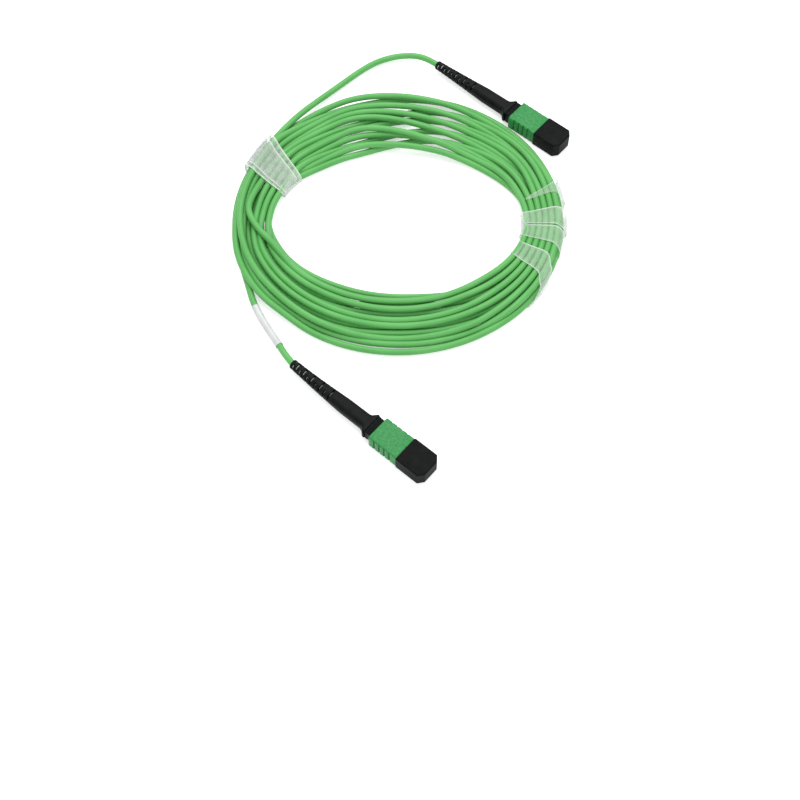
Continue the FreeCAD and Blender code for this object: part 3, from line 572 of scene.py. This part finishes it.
left_tie = film_strip(
    "left_tie", (-0.34, 1.22),
    front=[(-0.34, 157.0), (0.3, 157.5), (0.8, 159.0), (1.22, 159.6)],
    back=[(-0.34, 142.0), (0.3, 142.5), (0.8, 144.5), (1.22, 145.5)],
    top=[(0, 0.0083), (0.0045, 0.0086), (0.0105, 0.0062), (0.03, 0.0060)],
    slack=[(-0.34, 0.0002), (0.75, 0.0006), (1.22, 0.0002)],
    finish=clear_film("left_film", 0.12))
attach(left_tie, "connector")
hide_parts("film_wrap_left")

# ---------------------------------------------------------------- Boots
# One soft black moulding pushed over the crimp: a wide flat head, a body that tapers to the cord,
# and slots cut in turn from both sides and from above and below. The near one bends with the lead.

BOOT_LENGTH, BOOT_GAP = 0.0464, 0.00015
BOOT_SIDES, CORD_SIDES = 56, 32
SLOTS = {"Count": 10, "First": 0.0016, "Pitch": 0.0019, "Growth": 0.00006, "Width": 0.0008,
         "Web": 0.0013, "Reach": 0.008, "Turn": math.pi / 2}
# Distance behind the seat, half width, half height, and how round the section is.
BOOT_SHAPE = [(0.00015, 0.00532, 0.00297, 0.34), (0.0003, 0.00545, 0.0031, 0.32),
              (0.0010, 0.00545, 0.0031, 0.32), (0.0015, 0.00492, 0.00307, 0.36),
              (0.0022, 0.00425, 0.00304, 0.45), (0.0029, 0.00375, 0.00301, 0.55),
              (0.0040, 0.00355, 0.0030, 0.66), (0.0155, 0.00355, 0.0030, 0.72),
              (0.0390, 0.00245, 0.00245, 1.0), (0.0461, 0.0022, 0.0022, 1.0),
              (0.0463, 0.00213, 0.00213, 1.0), (0.0464, 0.0020, 0.0020, 1.0)]
# Distance behind the seat and radius of the bore, from the tail forward.
BOOT_BORE = [(0.0464, 0.00156), (0.0200, 0.00156), (0.0119, 0.00156), (0.01185, 0.0020),
             (0.0080, 0.0020), (0.00795, 0.00263), (0.00015, 0.00263)]
# Where the section is drawn besides the slots, as distances behind the seat.
BOOT_ROWS = (0.00015, 0.0002, 0.0003, 0.0006, 0.0010, 0.00125, 0.0015, 0.0018, 0.0022, 0.0025,
             0.0029, 0.0034, 0.0040, 0.0055, 0.0080, 0.0105, 0.0130, 0.0155, 0.0185, 0.0461,
             0.0463, 0.0464)
# The near boot is straight for this far behind the seat, and its tail leans aside by this much.
BOOT_STRAIGHT, BOOT_LEAN = 0.0155, 0.0008


def angles(count, first=0):
    """Even angles round a circle."""
    return [math.tau * (k + first) / count for k in range(count)]


def circle(x, y, z, radius, turns):
    """A ring of points across the connector's length."""
    return [Vector((x, y + radius * math.cos(a), z + radius * math.sin(a))) for a in turns]


def step(nodes, links, operation, *values):
    """One calculation in a tree. Each value is a number or another node's result."""
    made = nodes.new("ShaderNodeMath")
    made.operation = operation
    for socket, value in zip(made.inputs, values):
        if isinstance(value, (int, float)):
            socket.default_value = value
        else:
            links.new(value, socket)
    return made.outputs[0]


def empty_tree(name, sizes):
    """A tree that takes sizes and a material and gives a shape."""
    tree = bpy.data.node_groups.new(name, "GeometryNodeTree")
    tree.is_modifier = True
    for size in sizes:
        kind = "NodeSocketInt" if size == "Count" else "NodeSocketFloat"
        tree.interface.new_socket(size, in_out="INPUT", socket_type=kind)
    tree.interface.new_socket("Material", in_out="INPUT", socket_type="NodeSocketMaterial")
    tree.interface.new_socket("Geometry", in_out="OUTPUT", socket_type="NodeSocketGeometry")
    return tree


def hand_out(tree, given, shape):
    """Ends a tree: makes its shape real, gives it the material and hands it out."""
    solid, dressed, result = (tree.nodes.new(kind) for kind in (
        "GeometryNodeRealizeInstances", "GeometryNodeSetMaterial", "NodeGroupOutput"))
    tree.links.new(shape, solid.inputs[0])
    tree.links.new(solid.outputs[0], dressed.inputs["Geometry"])
    tree.links.new(given["Material"], dressed.inputs["Material"])
    tree.links.new(dressed.outputs[0], result.inputs[0])


def slot_cutters():
    """Pairs of blocks in a row, where every second pair is turned."""
    tree = empty_tree("boot_slots", SLOTS)
    nodes, links = tree.nodes, tree.links
    sizes = nodes.new("NodeGroupInput").outputs
    index = nodes.new("GeometryNodeInputIndex").outputs[0]
    spread = step(nodes, links, "MULTIPLY", step(nodes, links, "MULTIPLY", index, index),
                  sizes["Growth"])
    along_tail = step(nodes, links, "ADD", sizes["First"], step(
        nodes, links, "ADD", step(nodes, links, "MULTIPLY", index, sizes["Pitch"]), spread))
    place, size, turned = (nodes.new("ShaderNodeCombineXYZ") for _ in range(3))
    links.new(along_tail, place.inputs["X"])
    row = nodes.new("GeometryNodePoints")
    links.new(sizes["Count"], row.inputs["Count"])
    links.new(place.outputs[0], row.inputs["Position"])
    block = nodes.new("GeometryNodeMeshCube")
    links.new(sizes["Width"], size.inputs["X"])
    links.new(sizes["Reach"], size.inputs["Y"])
    links.new(sizes["Reach"], size.inputs["Z"])
    links.new(size.outputs[0], block.inputs["Size"])
    pair = nodes.new("GeometryNodeJoinGeometry")
    shift = step(nodes, links, "MULTIPLY",
                 step(nodes, links, "ADD", sizes["Web"], sizes["Reach"]), 0.5)
    for sign in (1, -1):
        moved, offset = nodes.new("GeometryNodeTransform"), nodes.new("ShaderNodeCombineXYZ")
        links.new(step(nodes, links, "MULTIPLY", shift, sign), offset.inputs["Y"])
        links.new(block.outputs["Mesh"], moved.inputs["Geometry"])
        links.new(offset.outputs[0], moved.inputs["Translation"])
        links.new(moved.outputs[0], pair.inputs[0])
    quarter = step(nodes, links, "MULTIPLY", step(nodes, links, "MODULO", index, 2),
                   sizes["Turn"])
    links.new(quarter, turned.inputs["X"])
    turning = nodes.new("FunctionNodeEulerToRotation")
    links.new(turned.outputs[0], turning.inputs[0])
    copies = nodes.new("GeometryNodeInstanceOnPoints")
    links.new(row.outputs[0], copies.inputs["Points"])
    links.new(pair.outputs[0], copies.inputs["Instance"])
    links.new(turning.outputs[0], copies.inputs["Rotation"])
    hand_out(tree, sizes, copies.outputs[0])
    return tree


def grown(name, tree, sizes, finish):
    """A plain mesh of what a tree makes."""
    holder = shown(name, bpy.data.meshes.new(name))
    maker = holder.modifiers.new("maker", "NODES")
    maker.node_group = tree
    for socket in tree.interface.items_tree:
        if socket.in_out == "INPUT":
            maker[socket.identifier] = finish if socket.name == "Material" else sizes[socket.name]
    plain = final_mesh(holder)
    holder.modifiers.clear()
    holder.data = plain
    return holder


def cut_slots(piece, sizes, start):
    """Cuts the row of blocks out of a piece, from a point on its axis."""
    blocks = grown(piece.name + "_blocks", cutter_tree, sizes, piece.data.materials[0])
    blocks.data.transform(Matrix.Translation(start))
    cut = piece.modifiers.new("slots", "BOOLEAN")
    cut.object = blocks
    cut.solver = "EXACT"
    slotted = final_mesh(piece)
    piece.modifiers.clear()
    piece.data = slotted
    bpy.data.objects.remove(blocks)


def boot_section(back):
    """Half width, half height and roundness at a distance behind the seat."""
    for (start, *here), (end, *there) in zip(BOOT_SHAPE, BOOT_SHAPE[1:]):
        if back <= end:
            share = (back - start) / (end - start)
            return [a + (b - a) * share for a, b in zip(here, there)]


def lean(x, tail):
    """How far a boot bends aside: nothing at its straight end, most at the tail."""
    start = tail + BOOT_LENGTH - BOOT_STRAIGHT
    return BOOT_LEAN * max(0, (start - x) / (start - tail)) ** 2


rubber = grained("boot_rubber", (0.0040, 0.0048, 0.0047), (0.0085, 0.0100, 0.0098), cloud=300,
                 roughness=0.46, grain=2600, depth=0.16, gloss=0.07)
cutter_tree = slot_cutters()


def round_edges(piece, width, least):
    """Rounds the edges that turn by more than least, in degrees, as a mould leaves them."""
    soften = piece.modifiers.new("moulded_edges", "BEVEL")
    soften.width = width
    soften.segments = 2
    soften.limit_method = "ANGLE"
    soften.angle_limit = math.radians(least)
    soften.harden_normals = True


def boot_moulding(name, node, bent):
    """A whole boot in the place of a node, straight or with its tail bent aside."""
    low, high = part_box(node)
    tail, axis_y, axis_z = low[0], (low[1] + high[1]) / 2, (low[2] + high[2]) / 2
    seat = high[0] + BOOT_GAP
    centres = [BOOT_LENGTH - SLOTS["First"] - SLOTS["Pitch"] * k - SLOTS["Growth"] * k * k
               for k in range(SLOTS["Count"] + 1)]
    backs = sorted({*BOOT_ROWS, *centres, *[(a + b) / 2 for a, b in zip(centres, centres[1:])]})
    turns = angles(BOOT_SIDES, 0.5)
    rings = []
    for back in backs:
        half_width, half_height, roundness = boot_section(back)
        rings.append([Vector((seat - back, axis_y + half_width * y, axis_z + half_height * z))
                      for y, z in ((math.copysign(abs(math.cos(a)) ** roundness, math.cos(a)),
                                    math.copysign(abs(math.sin(a)) ** roundness, math.sin(a)))
                                   for a in turns)])
    rings += [circle(seat - back, axis_y, axis_z, radius, turns) for back, radius in BOOT_BORE]
    body = skin(name, rings, rubber, looped=True)
    cut_slots(body, SLOTS, (tail, axis_y, axis_z))
    if bent:
        for vertex in body.data.vertices:
            vertex.co.y += lean(vertex.co.x, tail)
    round_edges(body, 0.0001, 38)
    return body


near_boot = boot_moulding("near_boot", "boot", bent=True)
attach(near_boot, "connector")
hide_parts("boot")

# The end of the cord lies in the boot's bore and bends with it. It is coloured pale grey, a
# painted highlight that shows as small bright crescents in the slots.
painted_highlight_grey = grained("painted_highlight_grey", (0.50, 0.52, 0.50), (0.64, 0.65, 0.63), cloud=260,
                      roughness=0.35, grain=1800, depth=0.08)
end_low, end_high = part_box("cable_end")
END_STEPS, END_INSET = 30, 0.00002
end_rings = []
for k in range(END_STEPS + 1):
    x = end_low[0] + END_INSET + (end_high[0] - end_low[0] - END_INSET) * k / END_STEPS
    end_rings.append(circle(x, (end_low[1] + end_high[1]) / 2 + lean(x, end_low[0]),
                            (end_low[2] + end_high[2]) / 2, CORD / 2, angles(CORD_SIDES)))
cord_in_boot = skin("cord_in_boot", end_rings, painted_highlight_grey)
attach(cord_in_boot, "connector")
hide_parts("cable_end")

# ---------------------------------------------------------------- Coupling sleeve
# Green moulded sleeve that slides on the housing and frees the latches. It has grip slots across
# both narrow sides, which leave rounded ribs between them, and its broad faces are left bare.

GRIPS = {"Count": 4, "First": 0.0033, "Pitch": 0.00275, "Growth": 0, "Width": 0.0009,
         "Web": 0.0114, "Reach": 0.012, "Turn": 0}


def moulded_copy(name, node, edge, finish, body, slots=None):
    """A node's own shape, with slots cut in it, and its corners rounded as a mould leaves them."""
    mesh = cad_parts[node].data.copy()
    mesh.name = name
    shape = bmesh.new()
    shape.from_mesh(mesh)
    bmesh.ops.remove_doubles(shape, verts=shape.verts, dist=2e-6)
    bmesh.ops.dissolve_limit(shape, angle_limit=math.radians(1), verts=shape.verts,
                             edges=shape.edges)
    bmesh.ops.recalc_face_normals(shape, faces=shape.faces)
    shape.to_mesh(mesh)
    shape.free()
    mesh.materials.clear()
    mesh.materials.append(finish)
    mesh.shade_smooth()
    made = shown(name, mesh)
    if slots:
        low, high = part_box(node)
        cut_slots(made, slots, (low[0], (low[1] + high[1]) / 2, (low[2] + high[2]) / 2))
    round_edges(made, edge, 28)
    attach(made, body)
    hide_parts(node)
    return made


sleeve_plastic = grained("sleeve_green_plastic", (0.024, 0.215, 0.050), (0.052, 0.315, 0.090),
                         cloud=900, roughness=0.42, grain=1900, depth=0.35, gloss=0.2)
moulded_copy("near_sleeve", "coupling_sleeve", 0.0002, sleeve_plastic, "sleeve",
             GRIPS)

# ---------------------------------------------------------------- Dust cap
# Black moulded cap pushed over the nose, with its two front corners cut off. Its faces are fine
# grained, and its edges are rounded.

cap_plastic = grained("cap_black_plastic", (0.0045, 0.0052, 0.0048), (0.0085, 0.0095, 0.0088),
                      cloud=350, roughness=0.5, grain=2400, depth=0.2, gloss=0.05)
moulded_copy("near_cap", "dust_cap", 0.00016, cap_plastic, "cap")

# ---------------------------------------------------------------- Inner housing
# Black moulded body of the connector, with the key on top, the latch notches at the nose and the
# windows for the spring push. The spring push snaps in from behind and ends in the crimp barrel.

housing_plastic = grained("housing_black_plastic", (0.0030, 0.0034, 0.0036),
                          (0.0065, 0.0070, 0.0075), cloud=400, roughness=0.46, grain=2200,
                          depth=0.18, gloss=0.05)
moulded_copy("near_housing", "inner_housing", 0.00006, housing_plastic, "connector")
moulded_copy("near_spring_push", "spring_push", 0.00005, housing_plastic, "connector")

# ---------------------------------------------------------------- Ferrule
# Grey mineral-filled ferrule with twelve fibre holes, two ground steel guide pins, the steel clamp
# that holds them, the soft slip behind it and the flat ribbon of twelve fibres.

ferrule_grey = grained("ferrule_grey", (0.055, 0.060, 0.066), (0.135, 0.140, 0.150), cloud=6000,
                       roughness=0.3, grain=7000, depth=0.12)
moulded_copy("near_ferrule", "ferrule", 0.00004, ferrule_grey, "ferrule_set")
ground_steel = grained("ground_steel", (0.50, 0.50, 0.51), (0.68, 0.68, 0.69), cloud=900,
                       roughness=0.16, grain=6000, depth=0.05, metal=1, run=(0.08, 1, 1))
pressed_steel = grained("pressed_steel", (0.36, 0.36, 0.37), (0.52, 0.52, 0.53), cloud=1200,
                        roughness=0.32, grain=4200, depth=0.1, metal=1, run=(0.3, 1, 1))
silicone = grained("slip_silicone", (0.62, 0.62, 0.60), (0.72, 0.72, 0.70), cloud=700,
                   roughness=0.55, grain=2500, depth=0.1)
ribbon = grained("ribbon_coating", (0.60, 0.66, 0.68), (0.78, 0.82, 0.83), cloud=3000,
                 roughness=0.2, grain=5200, depth=0.12, run=(0.03, 1, 1))


def dress(node, finish):
    """Gives a node that keeps its own shape its finish."""
    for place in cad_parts[node].material_slots:
        place.link = "OBJECT"
        place.material = finish


moulded_copy("near_clamp", "pin_clamp", 0.00004, pressed_steel, "ferrule_set")
dress("ferrule_boot", silicone)
dress("fibre_ribbon", ribbon)
PIN_SIDES = 24
for pin in ("guide_pin_left", "guide_pin_right"):
    low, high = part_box(pin)
    axis_y, axis_z, radius = (low[1] + high[1]) / 2, (low[2] + high[2]) / 2, (high[1] - low[1]) / 2
    # From the tail to the rounded tip, as the place and the share of the full radius.
    rings = [circle(x, axis_y, axis_z, radius * share, angles(PIN_SIDES)) for x, share in (
        (low[0], 1), (low[0] + 0.0002, 1), (low[0] + 0.0098, 1), (high[0] - 0.0007, 1),
        (high[0] - 0.0004, 0.88), (high[0] - 0.00015, 0.62), (high[0], 0.3))]
    ground = skin(pin.replace("guide_pin", "ground_pin"), rings, ground_steel)
    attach(ground, "ferrule_set")
    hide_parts(pin)

# ---------------------------------------------------------------- Springs
# Round wire springs: the wide one pushes the ferrule forward, and two thin ones, one at each side
# of the housing, push the coupling sleeve forward.

SPRING_TURNS, SPRING_POINTS_A_TURN, WIRE_SIDES = 7.0, 26, 12


def spring_tree():
    """A wire wound round a straight axis."""
    tree = empty_tree("wire_spring", ("Turns", "Radius", "Wire", "Length"))
    nodes, links = tree.nodes, tree.links
    given = nodes.new("NodeGroupInput").outputs
    winding, wire, sweep = (nodes.new(kind) for kind in (
        "GeometryNodeCurveSpiral", "GeometryNodeCurvePrimitiveCircle", "GeometryNodeCurveToMesh"))
    winding.inputs["Resolution"].default_value = SPRING_POINTS_A_TURN
    wire.inputs["Resolution"].default_value = WIRE_SIDES
    for socket, size in (("Rotations", "Turns"), ("Start Radius", "Radius"),
                         ("End Radius", "Radius"), ("Height", "Length")):
        links.new(given[size], winding.inputs[socket])
    links.new(given["Wire"], wire.inputs["Radius"])
    links.new(winding.outputs[0], sweep.inputs["Curve"])
    links.new(wire.outputs[0], sweep.inputs["Profile Curve"])
    sweep.inputs["Fill Caps"].default_value = True
    hand_out(tree, given, sweep.outputs[0])
    return tree


coil_tree = spring_tree()
for node, name, wire, joint, travel in (
        ("main_spring", "ferrule_spring", 0.0002, "ferrule_float", 0.0009),
        ("coupling_spring_left", "sleeve_spring_left", 0.0001, "sleeve_slide", 0.002),
        ("coupling_spring_right", "sleeve_spring_right", 0.0001, "sleeve_slide", 0.002)):
    low, high = (Vector(corner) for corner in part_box(node))
    centre = (low + high) / 2
    sizes = {"Turns": SPRING_TURNS, "Radius": (high.z - low.z) / 2 - wire, "Wire": wire,
             "Length": high.x - low.x - 2 * wire}
    spring = grown(name, coil_tree, sizes, pressed_steel)
    spring.data.transform(Matrix.Translation((low.x + wire, centre.y, centre.z))
                          @ Matrix.Rotation(math.pi / 2, 4, "Y"))
    spring.data.shade_smooth()
    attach(spring, "connector")
    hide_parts(node)
    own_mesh(spring)

# ---------------------------------------------------------------- Crimp
# Stepped crimp sleeve of plated metal over the yellow strength yarn, which is folded forward on
# the barrel. Both lie inside the boot.

plated = grained("plated_crimp", (0.42, 0.39, 0.33), (0.60, 0.57, 0.50), cloud=1500,
                 roughness=0.28, grain=3800, depth=0.15, metal=1)
yarn = grained("aramid_yarn", (0.52, 0.36, 0.05), (0.74, 0.55, 0.12), cloud=2600, roughness=0.5,
               grain=5200, depth=0.5, run=(0.05, 1, 1))
moulded_copy("near_crimp", "crimp_sleeve", 0.00004, plated, "connector")
dress("aramid_yarn", yarn)

# ---------------------------------------------------------------- Second connector
# The same connector at the other end of the cord, past the coil. It is the kind without pins, and
# its sleeve and ferrule move in the same way.

moulded_copy("far_cap", "far_dust_cap", 0.00016, cap_plastic, "far_cap")
moulded_copy("far_sleeve", "far_coupling_sleeve", 0.0002, sleeve_plastic, "far_sleeve",
             GRIPS)
moulded_copy("far_housing", "far_inner_housing", 0.00006, housing_plastic, "connector")
moulded_copy("far_ferrule_block", "far_ferrule", 0.00004, ferrule_grey, "far_ferrule_set")
straight_boot = boot_moulding("straight_boot", "far_boot", bent=False)
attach(straight_boot, "connector")
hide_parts("far_boot")
# The far cord end takes the same pale grey, a painted highlight in the boot's slots.
dress("far_cable_end", painted_highlight_grey)
